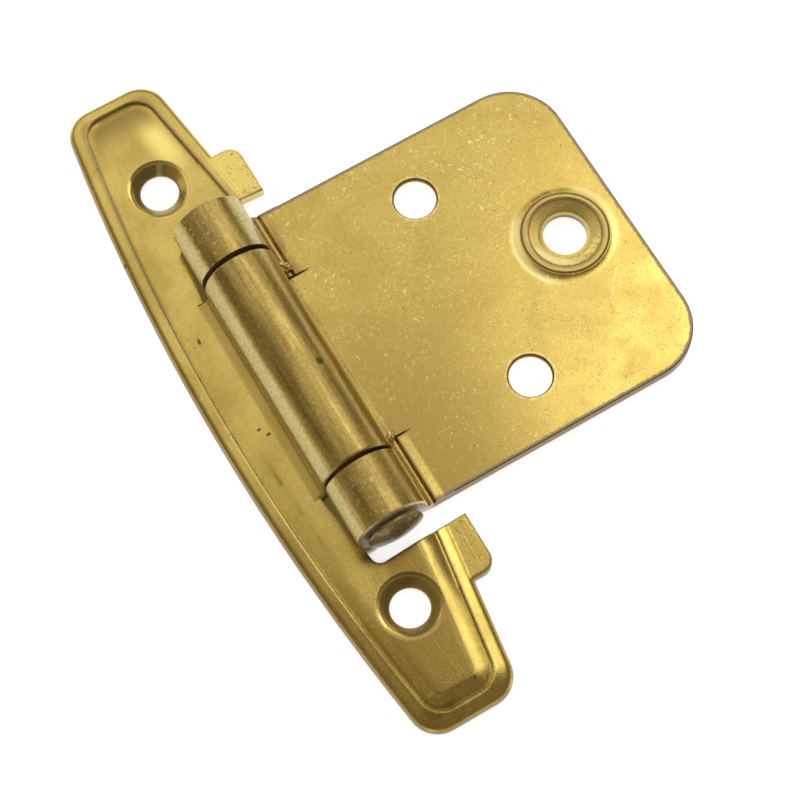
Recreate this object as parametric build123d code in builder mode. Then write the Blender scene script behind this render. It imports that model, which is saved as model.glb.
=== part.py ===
from build123d import *
import os

# Face-mount cabinet hinge in its closed, flat state, in millimetres.
# Origin: middle of the frame leaf's two screw holes, on the mounting plane.
# +X runs from the frame leaf to the door leaf, +Y along the barrel, +Z out of the mounting plane.

os.makedirs("parts", exist_ok=True)

# Sheet and barrel
sheet = 1.15                 # thickness of both leaves
pin_r = 2.35                 # pin shank radius
running_clearance = 0.06     # radial play between pin and knuckles
barrel_x = 2.10              # barrel axis from the frame screw line
barrel_z = 4.00              # barrel axis above the mounting plane
middle_half = 11.15          # half length of the frame leaf's middle knuckle
knuckle_gap = 0.42           # play between neighbouring knuckles
end_knuckle_length = 5.82    # length of each door leaf knuckle
edge_break = 0.16            # broken visible sheet edges

bore_r = pin_r + running_clearance
barrel_r = bore_r + sheet
roll_r = bore_r + sheet / 2              # middle of the rolled sheet
knuckle_start = middle_half + knuckle_gap
knuckle_end = knuckle_start + end_knuckle_length

# Frame leaf
leaf_length = 70.0           # along the barrel
leaf_back_x = 7.30           # outer edge from the screw line, at mid length
leaf_back_end_x = 4.60       # the same at the leaf's ends
leaf_front_end_x = 4.72      # barrel-side edge from the screw line, at the ends
leaf_front_x = 7.00          # barrel-side edge where the tabs start
corner_r = 2.80              # rounding of the four leaf corners
waist_r = 20.0               # bend of the barrel-side edge at the tabs
rim_run = 2.05               # width of the sloping rim, seen from the front
rim_fall = 0.30              # fall of the rim to its outer edge
rim_round = 0.70             # rolled outer edge of the rim
step_inset = 1.40            # fine groove inside the long edges
step_end_inset = 1.45        # the same inside the ends
step_corner_r = 2.25         # rounding of the groove's corners
groove = 0.10                # width of the groove
groove_depth = 0.05          # groove below the panel's foot
shoulder_run = 1.00          # width of the panel's shoulder
shoulder_rise = 0.43         # rise of the shoulder to the flat panel
shoulder_r = 4.90            # rounding of the shoulder into the flat panel
back_h = 0.40                # hollow behind the panel
back_inset = 2.30            # hollow's edge inside the outline
screw_spacing = 47.50        # frame screw holes, along the barrel
screw_r = 1.85               # frame screw hole
sink_r = 2.75                # countersink
sink_depth = 0.80            # countersink below its lip
lip_run = 0.38               # turned-down lip round the countersink
lip_fall = 0.14              # fall of the lip
root_r = 0.85                # concave bend at the foot of the middle knuckle
tongue_wrap = 245.0          # degrees that the tongue rolls round the pin
tongue_trim = 0.25           # end of the panel before the bend of the tongue

# Slots and tabs of the frame leaf
slot_half = 18.72            # outer wall of each slot from mid length, at the tab
slot_lean = 0.50             # the same wall's lean to the slot's inner end
slot_deep_x = 2.75           # slot's inner end behind the barrel axis, at the outer wall
slot_root_x = 4.05           # the same beside the middle knuckle
slot_r = 0.90                # rounding of the slot's inner corner
tab_x = 8.64                 # free edge of each tab from the screw line
tab_width = 5.72             # along the barrel
tab_r = 1.40                 # rounding of the tab's outer corner

# Door leaf
door_x = 36.86               # free edge from the screw line
door_half = 16.60            # half length along the barrel
door_corner_r = 5.60         # rounding of the two outer corners
foot_r = 1.12                # concave bend at the foot of the end knuckles
strip_wrap = 240.0           # degrees that each end strip rolls round the pin
crease = 0.16                # depth of the crease at the foot of the end knuckles
slit_y = 9.35                # slit beside each end strip, from mid length
slit_width = 0.36            # wide end, under the knuckle; the other end is a point
slit_run = 2.10              # slit past the crease
door_mid_x = 3.10            # middle edge of the leaf in front of the barrel axis
root_clearance = 0.34        # strip roots clear of the middle knuckle

# Door leaf screw holes
door_hole_x = 20.52          # plain holes from the screw line
door_hole_spacing = 21.00    # plain holes, along the barrel
door_hole_r = 2.02
door_sink_r = 2.85           # countersink on the door leaf's back
door_sink_angle = 100.0
boss_inset = 6.14            # dimpled hole inside the free edge
boss_hole_r = 2.08
boss_foot_r = 4.60           # foot of the raised ring
boss_top_r = 4.18            # outer edge of the ring's flat top
boss_ring = 0.62             # width of the flat top
boss_h = 0.50                # ring above the sheet
boss_cup = 0.46              # depth of the cup inside the ring
boss_throat = 0.30           # ledge between cup and hole
boss_flare = 0.70            # soft foot round the ring

# Pin
head_r = 2.74                # domed head
head_h = 0.66                # head along the axis
head_rim = 0.20              # straight rim under the dome
head_gap = 0.34              # play between head and knuckle
pin_inset = 0.30             # plain end inside the upper knuckle
pin_chamfer = 0.40

leaf_half = leaf_length / 2
barrel_axis = Axis((barrel_x, 0, barrel_z), (0, 1, 0))


def boat(inset, end_inset, corner):
    """Outline of the frame leaf, moved inwards from its long edges and its ends."""
    with BuildSketch() as outline:
        with BuildLine():
            end_y = leaf_half - end_inset
            back = ThreePointArc(
                (inset - leaf_back_end_x, -end_y),
                (inset - leaf_back_x, 0),
                (inset - leaf_back_end_x, end_y),
            )
            Polyline(
                back @ 1,
                (leaf_front_end_x - inset, end_y),
                (leaf_front_x - inset, slot_half),
                (leaf_front_x - inset, -slot_half),
                (leaf_front_end_x - inset, -end_y),
                back @ 0,
            )
        make_face()
        levels = outline.vertices().group_by(Axis.Y)
        fillet(levels[1] + levels[-2], radius=waist_r)
        fillet(outline.vertices().group_by(Axis.Y)[0] + outline.vertices().group_by(Axis.Y)[-1], radius=corner)
    return outline.sketch_local


leaf_outline = boat(0, 0, corner_r)
step_outline = boat(step_inset, step_end_inset, step_corner_r)
panel_outline = boat(step_inset + groove, step_end_inset + groove, step_corner_r - groove)
hollow_outline = boat(back_inset, back_inset, corner_r - back_inset)
panel_h = back_h + sheet                 # flat top of the panel
panel_foot = panel_h - shoulder_rise     # panel's edge beside the groove

# Raised panel with its rounded shoulder
with BuildPart() as panel:
    with BuildSketch():
        add(panel_outline)
    extrude(amount=panel_h)
    panel_top = panel.faces().sort_by(Axis.Z)[-1]
    chamfer(panel_top.edges(), length=shoulder_run, length2=shoulder_rise, reference=panel_top)
    fillet(panel.faces().sort_by(Axis.Z)[-1].edges(), radius=shoulder_r)

# Frame leaf's plate: sloping rim, rolled over at its outer edge, and the groove round the panel
with BuildPart() as leaf_plate:
    with BuildSketch():
        add(leaf_outline)
    extrude(amount=sheet + rim_fall)
    rim = leaf_plate.faces().sort_by(Axis.Z)[-1]
    chamfer(rim.edges(), length=rim_run, length2=rim_fall, reference=rim)
    fillet(leaf_plate.edges().filter_by_position(Axis.Z, sheet - 0.01, sheet + 0.01), radius=rim_round)
    with BuildSketch(Plane.XY.offset(panel_foot - groove_depth)):
        add(step_outline)
    extrude(amount=sheet, mode=Mode.SUBTRACT)
    add(panel.part)

# Tongue that rises from the panel and rolls over the pin as the middle knuckle
with BuildPart() as tongue:
    with BuildSketch(Plane.XZ):
        with BuildLine():
            bend_x = barrel_x - barrel_r - root_r
            bend_z = back_h + sheet / 2
            flat = Line((bend_x - 2 * tongue_trim, bend_z), (bend_x, bend_z))
            bend = JernArc(flat @ 1, flat % 1, radius=root_r + sheet / 2, arc_size=90)
            rise = Line(bend @ 1, (barrel_x - roll_r, barrel_z))
            JernArc(rise @ 1, rise % 1, radius=roll_r, arc_size=-tongue_wrap)
        trace(line_width=sheet)
    extrude(amount=middle_half, both=True)
    roll_ends = tongue.edges().filter_by(GeomType.CIRCLE).filter_by(lambda e: abs(e.radius - barrel_r) < 0.01)
    chamfer(roll_ends, length=edge_break)

# Frame leaf: plate, hollow back, tabs, slots, tongue and screw holes
with BuildPart() as face_leaf:
    add(leaf_plate.part)

    # Hollow back
    with BuildSketch():
        add(hollow_outline)
    extrude(amount=back_h, mode=Mode.SUBTRACT)

    # Flat tabs beside the slots
    for side in (1, -1):
        with BuildSketch() as tab:
            with BuildLine():
                tab_end = slot_half + tab_width
                Polyline(
                    (barrel_x + bore_r, side * slot_half),
                    (tab_x, side * slot_half),
                    (tab_x, side * tab_end),
                    (barrel_x + bore_r, side * tab_end),
                    close=True,
                )
            make_face()
            fillet(tab.vertices().group_by(Axis.X)[-1].sort_by(Axis.Y)[-1 if side > 0 else 0], radius=tab_r)
        extrude(amount=sheet)
    tab_tops = face_leaf.edges().filter_by_position(Axis.Z, sheet - 0.01, sheet + 0.01)
    chamfer(tab_tops.filter_by(lambda e: e.center().X > leaf_front_x), length=edge_break)

    # Slots for the end knuckles, and the opening for the tongue
    with BuildSketch() as slots:
        with BuildLine():
            Polyline(
                (tab_x + sheet, slot_half),
                (barrel_x - slot_deep_x, slot_half + slot_lean),
                (barrel_x - slot_root_x, middle_half),
                (barrel_x - barrel_r - root_r - tongue_trim, middle_half),
                (barrel_x - barrel_r - root_r - tongue_trim, -middle_half),
                (barrel_x - slot_root_x, -middle_half),
                (barrel_x - slot_deep_x, -slot_half - slot_lean),
                (tab_x + sheet, -slot_half),
                close=True,
            )
        make_face()
        fillet(slots.vertices().group_by(Axis.X)[-2], radius=slot_r)
    extrude(amount=panel_h + sheet, mode=Mode.SUBTRACT)
    add(tongue.part)

    # Countersunk screw holes with a turned-down lip
    for side in (1, -1):
        sink_axis = Axis((0, side * screw_spacing / 2, 0), (0, 0, 1))
        with BuildSketch(Plane.XZ.offset(-side * screw_spacing / 2)):
            with BuildLine():
                sink_top = panel_h - lip_fall
                Polyline(
                    (0, -sheet),
                    (screw_r, -sheet),
                    (screw_r, sink_top - sink_depth),
                    (sink_r, sink_top),
                    (sink_r + lip_run, panel_h),
                    (sink_r + lip_run, panel_h + sheet),
                    (0, panel_h + sheet),
                    close=True,
                )
            make_face()
        revolve(axis=sink_axis, mode=Mode.SUBTRACT)


# End strip of the door leaf: root, creased foot and the roll over the pin as an end knuckle
foot_x = barrel_x + barrel_r + foot_r
boss_x = door_x - boss_inset
strip_width = knuckle_end - slit_y
with BuildPart() as end_strip:
    with BuildSketch(Plane.XZ.offset(-knuckle_end)):
        with BuildLine():
            strip = Line((foot_x + slit_run, sheet / 2), (foot_x, sheet / 2))
            foot = JernArc(strip @ 1, strip % 1, radius=foot_r + sheet / 2, arc_size=-90)
            wall = Line(foot @ 1, (barrel_x + roll_r, barrel_z))
            JernArc(wall @ 1, wall % 1, radius=roll_r, arc_size=strip_wrap)
        trace(line_width=sheet)
    extrude(amount=strip_width)
    end_edges = end_strip.edges().filter_by_position(Axis.Y, knuckle_end - 0.01, knuckle_end + 0.01)
    end_arcs = end_edges.filter_by(GeomType.CIRCLE)
    chamfer(end_arcs.filter_by(lambda e: abs(e.radius - barrel_r) < 0.01), length=edge_break)

    # The roll stops short of the middle knuckle, and the root stays clear of it
    with BuildSketch(Plane.XZ):
        with Locations((barrel_x, barrel_z)):
            Circle(barrel_r + root_clearance)
    extrude(amount=-knuckle_start, mode=Mode.SUBTRACT)

    # The outer edge leans from the leaf's edge to the knuckle's end
    with BuildSketch(Plane.YZ.offset(barrel_x)):
        with BuildLine():
            Polyline(
                (door_half, 0),
                (door_half, sheet),
                (knuckle_end, barrel_z),
                (knuckle_end + door_half, barrel_z),
                (knuckle_end + door_half, 0),
                close=True,
            )
        make_face()
    extrude(amount=door_x, mode=Mode.SUBTRACT)

    # Crease along the foot
    with BuildSketch(Plane.XZ.offset(-knuckle_end)):
        with Locations((foot_x, sheet)):
            Rectangle(crease * 2**0.5, crease * 2**0.5, rotation=45)
    extrude(amount=strip_width, mode=Mode.SUBTRACT)


# Door leaf: plate, end strips with their slits, plain holes and one dimpled hole
with BuildPart() as door_leaf:
    with BuildSketch() as door_outline:
        with BuildLine():
            Polyline(
                (foot_x + slit_run, door_half),
                (door_x, door_half),
                (door_x, -door_half),
                (foot_x + slit_run, -door_half),
                (foot_x + slit_run, -slit_y),
                (barrel_x + door_mid_x, -slit_y),
                (barrel_x + door_mid_x, slit_y),
                (foot_x + slit_run, slit_y),
                close=True,
            )
        make_face()
        fillet(door_outline.vertices().group_by(Axis.X)[-1], radius=door_corner_r)
    extrude(amount=sheet)
    sheet_tops = door_leaf.edges().filter_by_position(Axis.Z, sheet - 0.01, sheet + 0.01)
    fillet(sheet_tops.filter_by(lambda e: e.center().X > foot_x + 2 * slit_run), radius=edge_break)
    add(end_strip.part)
    mirror(end_strip.part, about=Plane.XZ)
    for side in (1, -1):
        with BuildSketch():
            with BuildLine():
                Polyline(
                    (foot_x + slit_run, side * slit_y),
                    (foot_x - slit_run, side * slit_y + slit_width / 2),
                    (foot_x - slit_run, side * slit_y - slit_width / 2),
                    close=True,
                )
            make_face()
        extrude(amount=barrel_z, mode=Mode.SUBTRACT)

    # Raised ring round the dimpled hole, with its cup
    boss_axis = Axis((boss_x, 0, 0), (0, 0, 1))
    with BuildSketch(Plane.XZ):
        with BuildLine():
            boss_top = sheet + boss_h
            Polyline(
                (boss_x, sheet / 2),
                (boss_x + boss_foot_r, sheet / 2),
                (boss_x + boss_foot_r, sheet),
                (boss_x + boss_top_r, boss_top),
                (boss_x, boss_top),
                close=True,
            )
        make_face()
    revolve(axis=boss_axis)
    foot_edge = door_leaf.edges().filter_by(GeomType.CIRCLE).filter_by(lambda e: abs(e.radius - boss_foot_r) < 0.01)
    fillet(foot_edge.filter_by(lambda e: abs(e.center().Z - sheet) < 0.01), radius=boss_flare)
    with BuildSketch(Plane.XZ):
        with BuildLine():
            Polyline(
                (boss_x, -sheet),
                (boss_x + boss_hole_r, -sheet),
                (boss_x + boss_hole_r, boss_top - boss_cup),
                (boss_x + boss_hole_r + boss_throat, boss_top - boss_cup),
                (boss_x + boss_top_r - boss_ring, boss_top),
                (boss_x, boss_top),
                close=True,
            )
        make_face()
    revolve(axis=boss_axis, mode=Mode.SUBTRACT)

    rings = door_leaf.edges().filter_by(GeomType.CIRCLE).filter_by_position(Axis.Z, boss_top - 0.01, boss_top + 0.01)
    chamfer(rings, length=edge_break)

    # Plain holes, countersunk on the back
    for side in (1, -1):
        with Locations(Plane((door_hole_x, side * door_hole_spacing / 2, 0), z_dir=(0, 0, -1))):
            CounterSinkHole(door_hole_r, door_sink_r, counter_sink_angle=door_sink_angle)
    with Locations(Plane((boss_x, 0, 0), z_dir=(0, 0, -1))):
        CounterSinkHole(boss_hole_r, door_sink_r, counter_sink_angle=door_sink_angle)
    circles = door_leaf.edges().filter_by(GeomType.CIRCLE)
    hole_tops = circles.filter_by_position(Axis.Z, sheet - 0.01, sheet + 0.01)
    chamfer(hole_tops.filter_by(lambda e: abs(e.radius - door_hole_r) < 0.01), length=edge_break)


# Pin with a low domed head under the lower knuckle
with BuildPart() as hinge_pin:
    with BuildSketch(Plane((barrel_x, 0, barrel_z))):
        with BuildLine():
            head_y = -knuckle_end - head_gap
            tip_y = knuckle_end - pin_inset
            shank = Polyline(
                (0, tip_y),
                (pin_r - pin_chamfer, tip_y),
                (pin_r, tip_y - pin_chamfer),
                (pin_r, head_y),
                (head_r, head_y),
                (head_r, head_y - head_rim),
            )
            crown = TangentArc(
                (0, head_y - head_h),
                (head_r, head_y - head_rim),
                tangent=(1, 0),
            )
            Line(crown @ 0, shank @ 0)
        make_face()
    revolve(axis=barrel_axis)


face_leaf.part.label = "face_leaf"
door_leaf.part.label = "door_leaf"
hinge_pin.part.label = "hinge_pin"

export_step(face_leaf.part, "parts/face_leaf.step")
export_step(door_leaf.part, "parts/door_leaf.step")
export_step(hinge_pin.part, "parts/hinge_pin.step")
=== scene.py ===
"""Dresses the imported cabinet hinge: worn brass finishes, small burrs, floor, light and camera."""

import logging
import math
from dataclasses import dataclass, field
from enum import Enum
from functools import cached_property, reduce
from typing import Dict, List, Optional, Tuple, Union

import bpy
import numpy as np
from mathutils import Matrix, Vector


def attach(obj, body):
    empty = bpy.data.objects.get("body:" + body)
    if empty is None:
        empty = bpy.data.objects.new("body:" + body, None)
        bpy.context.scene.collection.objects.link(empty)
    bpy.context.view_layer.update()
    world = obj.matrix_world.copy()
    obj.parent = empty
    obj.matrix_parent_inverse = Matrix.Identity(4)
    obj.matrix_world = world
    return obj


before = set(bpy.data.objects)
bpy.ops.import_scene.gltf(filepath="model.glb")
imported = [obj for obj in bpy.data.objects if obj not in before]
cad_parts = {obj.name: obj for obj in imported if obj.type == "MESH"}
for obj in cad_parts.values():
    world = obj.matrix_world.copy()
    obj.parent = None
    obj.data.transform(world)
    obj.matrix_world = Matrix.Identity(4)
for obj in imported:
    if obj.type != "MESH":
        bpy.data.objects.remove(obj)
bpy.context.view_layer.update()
LOG = logging.getLogger("cabinet_hinge")

Socket = bpy.types.NodeSocket
Triple = Tuple[float, float, float]
Colour = Triple
# A span is where an ease begins and ends, and a pair is a place or a direction in X and Y
Span = Tuple[float, float]
Pair = Tuple[float, float]
# A band is a centre, a half width and the width of its soft edge
Band = Tuple[float, float, float]
Value = Union[float, Triple, Socket, "Amount"]

MM = 1000.0
WHITE: Colour = (1.0, 1.0, 1.0)


class Op(Enum):
    """Arithmetic that the finishes use, by Blender's own names."""

    ADD = "ADD"
    SUB = "SUBTRACT"
    MUL = "MULTIPLY"
    DIV = "DIVIDE"
    MIN = "MINIMUM"
    MAX = "MAXIMUM"
    SMIN = "SMOOTH_MIN"
    ABS = "ABSOLUTE"
    SQRT = "SQRT"
    COMPARE = "COMPARE"


class Amount:
    """A number that changes over a surface; arithmetic with it adds nodes to its graph."""

    def __init__(self, graph: "Graph", socket: Socket) -> None:
        """Keeps the graph and the socket that gives the number."""
        self.graph = graph
        self.socket = socket

    def __add__(self, other: Value) -> "Amount":
        """Sum."""
        return self.graph.math(Op.ADD, self, other)

    def __sub__(self, other: Value) -> "Amount":
        """Difference."""
        return self.graph.math(Op.SUB, self, other)

    def __rsub__(self, other: float) -> "Amount":
        """Difference from a plain number."""
        return self.graph.math(Op.SUB, other, self)

    def __mul__(self, other: Value) -> "Amount":
        """Product; of two masks, the places that both of them mark."""
        return self.graph.math(Op.MUL, self, other)

    def __truediv__(self, other: Value) -> "Amount":
        """Quotient."""
        return self.graph.math(Op.DIV, self, other)

    def __abs__(self) -> "Amount":
        """Size without its sign."""
        return self.graph.math(Op.ABS, self)

    def least(self, other: Value) -> "Amount":
        """The smaller of two numbers."""
        return self.graph.math(Op.MIN, self, other)

    def most(self, other: Value) -> "Amount":
        """The larger of two numbers."""
        return self.graph.math(Op.MAX, self, other)

    def merged(self, other: Value, soft: float) -> "Amount":
        """The smaller of two numbers, with a rounded change from one to the other."""
        return self.graph.math(Op.SMIN, self, other, soft)

    def within(self, centre: float, reach: float) -> "Amount":
        """Marks, with a hard edge, where this number is within reach of a centre."""
        return self.graph.math(Op.COMPARE, self, centre, reach)

    def without(self, mask: "Amount") -> "Amount":
        """Takes a mask away from this one and stays between 0 and 1."""
        return self.graph.math(Op.SUB, self, mask, clamp=True)

    def hypot(self, other: "Amount") -> "Amount":
        """Root of the sum of two squares."""
        return self.graph.math(Op.SQRT, self * self + other * other)

    def towards(self, other: "Amount", way: Pair) -> "Amount":
        """How far this number across and another one along reach in a direction."""
        return self * way[0] + other * way[1]

    def eased(self, low: float, high: float, start: float, end: float) -> "Amount":
        """Goes smoothly from start to end as this number goes from low to high.

        Args:
            low: where the ease begins.
            high: where it ends.
            start: result below low.
            end: result above high.
        Returns:
            The eased number.
        """
        made = self.graph.node("ShaderNodeMapRange", interpolation_type="SMOOTHSTEP", clamp=True)
        for socket, value in zip(made.inputs, (self, low, high, start, end)):
            self.graph.put(socket, value)
        return Amount(self.graph, made.outputs[0])

    def rise(self, low: float, high: float) -> "Amount":
        """Goes smoothly from 0 to 1 over a span of this number."""
        return self.eased(low, high, 0.0, 1.0)

    def fall(self, low: float, high: float) -> "Amount":
        """Goes smoothly from 1 to 0 over a span of this number."""
        return self.eased(low, high, 1.0, 0.0)

    def near(self, centre: float, half: float, soft: float) -> "Amount":
        """Marks a band of this number: 1 within half of the centre, 0 past half plus soft."""
        return abs(self - centre).fall(half, half + soft)


class Graph:
    """Writes shader nodes as short formulas in one node tree."""

    def __init__(self, tree: bpy.types.NodeTree) -> None:
        """Keeps the tree that the nodes go into."""
        self.tree = tree

    def node(self, kind: str, **settings: object) -> bpy.types.Node:
        """Adds a node.

        Args:
            kind: Blender's node type.
            settings: attributes of the node, by name.
        Returns:
            The new node.
        """
        made = self.tree.nodes.new(kind)
        for name, value in settings.items():
            setattr(made, name, value)
        return made

    def put(self, socket: Socket, value: Value) -> None:
        """Links a socket into another, or sets its plain value.

        Args:
            socket: the input to feed.
            value: what to link from, or a number, vector or colour.
        """
        if isinstance(value, Amount):
            value = value.socket
        if isinstance(value, Socket):
            self.tree.links.new(value, socket)
        elif socket.type == "RGBA" and len(value) == 3:
            socket.default_value = (*value, 1.0)
        else:
            socket.default_value = value

    def math(self, op: Op, a: Value, b: Value = 0.0, c: Value = 0.0, clamp: bool = False) -> Amount:
        """Works out one arithmetic step.

        Args:
            op: the operation.
            a: first value.
            b: second value, where the operation has one.
            c: third value, where the operation has one.
            clamp: keeps the result between 0 and 1.
        Returns:
            The result.
        """
        made = self.node("ShaderNodeMath", operation=op.value, use_clamp=clamp)
        for socket, value in zip(made.inputs, (a, b, c)):
            self.put(socket, value)
        return Amount(self, made.outputs[0])

    def scaled(self, vector: Socket, factors: Triple) -> Socket:
        """Multiplies a vector by three plain factors.

        Args:
            vector: the vector.
            factors: what its three numbers are multiplied by.
        Returns:
            The new vector.
        """
        made = self.node("ShaderNodeVectorMath", operation="MULTIPLY")
        self.put(made.inputs[0], vector)
        made.inputs[1].default_value = factors
        return made.outputs[0]

    def turned(self, vector: Socket, angle: float, factors: Triple) -> Socket:
        """Turns a vector about Z and then stretches it.

        Args:
            vector: the vector.
            angle: turn in degrees.
            factors: stretch along the turned axes.
        Returns:
            The new vector.
        """
        turn = self.node("ShaderNodeVectorRotate", rotation_type="Z_AXIS")
        self.put(turn.inputs["Vector"], vector)
        turn.inputs["Angle"].default_value = math.radians(angle)
        return self.scaled(turn.outputs[0], factors)

    def parts(self, vector: Socket) -> Tuple[Amount, ...]:
        """Splits a vector into its three numbers.

        Args:
            vector: the vector.
        Returns:
            Its numbers along X, Y and Z.
        """
        made = self.node("ShaderNodeSeparateXYZ")
        self.put(made.inputs[0], vector)
        return tuple(Amount(self, result) for result in made.outputs)

    def grey(self, level: Amount) -> Socket:
        """Makes a grey colour.

        Args:
            level: how bright it is.
        Returns:
            The colour, with the level in all three channels.
        """
        made = self.node("ShaderNodeCombineXYZ")
        for socket in made.inputs:
            self.put(socket, level)
        return made.outputs[0]

    def noise(self, vector: Socket, scale: float, detail: float = 2.0, rough: float = 0.5,
              bend: float = 0.0) -> Amount:
        """Smooth noise from 0 to 1.

        Args:
            vector: where the noise is read.
            scale: waves per unit.
            detail: finer octaves.
            rough: strength of the finer octaves.
            bend: distortion.
        Returns:
            The noise.
        """
        made = self.node("ShaderNodeTexNoise", noise_dimensions="3D")
        self.put(made.inputs["Vector"], vector)
        settings = {"Scale": scale, "Detail": detail, "Roughness": rough, "Distortion": bend}
        for name, number in settings.items():
            made.inputs[name].default_value = number
        return Amount(self, made.outputs[0])

    def mix(self, factor: Value, a: Value, b: Value, mode: str = "MIX") -> Socket:
        """Mixes two colours.

        Args:
            factor: share of the second colour.
            a: first colour.
            b: second colour.
            mode: Blender's blend type.
        Returns:
            The mixed colour.
        """
        made = self.node("ShaderNodeMix", data_type="RGBA", blend_type=mode)
        self.put(made.inputs["Factor"], factor)
        self.put(made.inputs[6], a)
        self.put(made.inputs[7], b)
        return made.outputs[2]

    def carried(self, normal: Socket, start: str, end: str) -> Socket:
        """Carries a normal from one space to another.

        Args:
            normal: the normal.
            start: the space it is in, by Blender's name.
            end: the space it goes to.
        Returns:
            The carried normal.
        """
        made = self.node("ShaderNodeVectorTransform", vector_type="NORMAL",
                         convert_from=start, convert_to=end)
        self.put(made.inputs[0], normal)
        return made.outputs[0]

    def effect(self, tree: bpy.types.NodeTree, place: Socket) -> Dict[str, Amount]:
        """Places an effect's node group.

        Args:
            tree: the group.
            place: position in millimetres, for the group's input.
        Returns:
            The group's results by name.
        """
        made = self.node("ShaderNodeGroup", node_tree=tree)
        self.put(made.inputs["Place"], place)
        return {result.name: Amount(self, result) for result in made.outputs}


class Effect:
    """A surface effect that several finishes share, kept as one node group.

    A subclass names its group and its results, and draws them from a place in millimetres.
    """

    name: str = "effect"
    results: Tuple[str, ...] = ()

    def draw(self, graph: Graph, place: Socket) -> Tuple[Amount, ...]:
        """Works out the results from the place; each subclass has its own."""
        raise NotImplementedError

    def tree(self) -> bpy.types.NodeTree:
        """Makes the node group, or finds it if it is there.

        Returns:
            The group, with a place as its input and one value for each result.
        """
        found = bpy.data.node_groups.get(self.name)
        if found is not None:
            return found
        made = bpy.data.node_groups.new(self.name, "ShaderNodeTree")
        made.interface.new_socket("Place", in_out="INPUT", socket_type="NodeSocketVector")
        for result in self.results:
            made.interface.new_socket(result, in_out="OUTPUT", socket_type="NodeSocketFloat")
        graph = Graph(made)
        start, end = graph.node("NodeGroupInput"), graph.node("NodeGroupOutput")
        for socket, value in zip(end.inputs, self.draw(graph, start.outputs["Place"])):
            graph.put(socket, value)
        return made


@dataclass(frozen=True)
class Clouding(Effect):
    """Slow clouds and fine mottle in the plating, and slow waves of the sheet."""

    name: str = "clouding"
    results: Tuple[str, ...] = ("Cloud", "Mottle", "Wave")
    cloud_scale: float = 0.17
    mottle_scale: float = 3.4
    wave_scale: float = 0.085

    def draw(self, graph: Graph, place: Socket) -> Tuple[Amount, ...]:
        """Reads three noises.

        Args:
            graph: the group's graph.
            place: position in millimetres.
        Returns:
            A slow and soft noise, a fine and rough one, and the sheet's waves.
        """
        cloud = graph.noise(place, self.cloud_scale, detail=4.0, rough=0.6, bend=0.4)
        mottle = graph.noise(place, self.mottle_scale, detail=4.0, rough=0.68)
        wave = graph.noise(place, self.wave_scale, detail=1.0, rough=0.4)
        return cloud, mottle, wave


@dataclass(frozen=True)
class Scuffs(Effect):
    """Hair-thin marks: short curled dings, a few long straight scratches, and pits."""

    name: str = "scuffs"
    results: Tuple[str, ...] = ("Dings", "Nicks", "Scratches", "Pits")
    curl_scale: float = 1.7
    curl_width: float = 0.020
    patch_scale: float = 2.3
    region_scale: float = 0.21
    angles: Tuple[float, ...] = (17.0, 74.0, 128.0)
    thread: Band = (0.5, 0.0012, 0.004)
    thread_stretch: Triple = (0.055, 1.15, 0.4)
    thread_patch: Triple = (0.16, 0.5, 0.5)
    pit_scale: float = 1.5
    pit_radius: float = 0.13
    pit_ragged: float = 0.22

    def draw(self, graph: Graph, place: Socket) -> Tuple[Amount, ...]:
        """Draws thin contour lines of noises and keeps them only in scattered patches.

        Args:
            graph: the group's graph.
            place: position in millimetres.
        Returns:
            Masks of the dings, the darker nicks, the scratches and the pits.
        """
        curl = graph.noise(place, self.curl_scale, detail=1.6, rough=0.6, bend=0.9)
        hair = curl.near(0.5, half=self.curl_width * 0.3, soft=self.curl_width)
        patch = graph.noise(place, self.patch_scale, detail=1.0)
        region = graph.noise(place, self.region_scale).eased(0.40, 0.60, 0.25, 1.0)
        dings = hair * patch.rise(0.53, 0.58) * region
        nicks = hair * patch.fall(0.39, 0.44) * region
        return dings, nicks, self.scratches(graph, place), self.pits(graph, place)

    def scratches(self, graph: Graph, place: Socket) -> Amount:
        """Draws contour lines of noises that are stretched along a few directions.

        Args:
            graph: the group's graph.
            place: position in millimetres.
        Returns:
            The scratches' mask.
        """
        lines = []
        for angle in self.angles:
            thread = graph.noise(graph.turned(place, angle, self.thread_stretch), 1.0, detail=0.0)
            patch = graph.noise(graph.turned(place, angle, self.thread_patch), 1.0, detail=1.0)
            lines.append(thread.near(*self.thread) * patch.rise(0.58, 0.66))
        return reduce(Amount.most, lines)

    def pits(self, graph: Graph, place: Socket) -> Amount:
        """Puts a small ragged spot in the middle of some cells.

        Args:
            graph: the group's graph.
            place: position in millimetres.
        Returns:
            The pits' mask.
        """
        cells = graph.node("ShaderNodeTexVoronoi", voronoi_dimensions="3D", feature="F1")
        graph.put(cells.inputs["Vector"], place)
        cells.inputs["Scale"].default_value = self.pit_scale
        chance = graph.parts(cells.outputs["Color"])[0]
        inside = chance.eased(0.66, 1.0, 0.0, self.pit_radius) - cells.outputs["Distance"]
        ragged = (graph.noise(place, 6.0, detail=1.0) - 0.5) * self.pit_ragged
        return (inside + ragged).rise(0.0, 0.03)


@dataclass(frozen=True)
class Brushing(Effect):
    """Fine streaks along the barrel's direction."""

    name: str = "brushing"
    results: Tuple[str, ...] = ("Fine", "Broad")
    fine_stretch: Triple = (7.5, 0.22, 7.5)
    broad_stretch: Triple = (1.7, 0.11, 1.7)

    def draw(self, graph: Graph, place: Socket) -> Tuple[Amount, ...]:
        """Reads two noises that are stretched along Y.

        Args:
            graph: the group's graph.
            place: position in millimetres.
        Returns:
            The fine and the broad streaks.
        """
        fine = graph.noise(graph.scaled(place, self.fine_stretch), 1.0, detail=3.0, rough=0.65)
        broad = graph.noise(graph.scaled(place, self.broad_stretch), 1.0, detail=3.0, rough=0.6)
        return fine, broad


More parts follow.
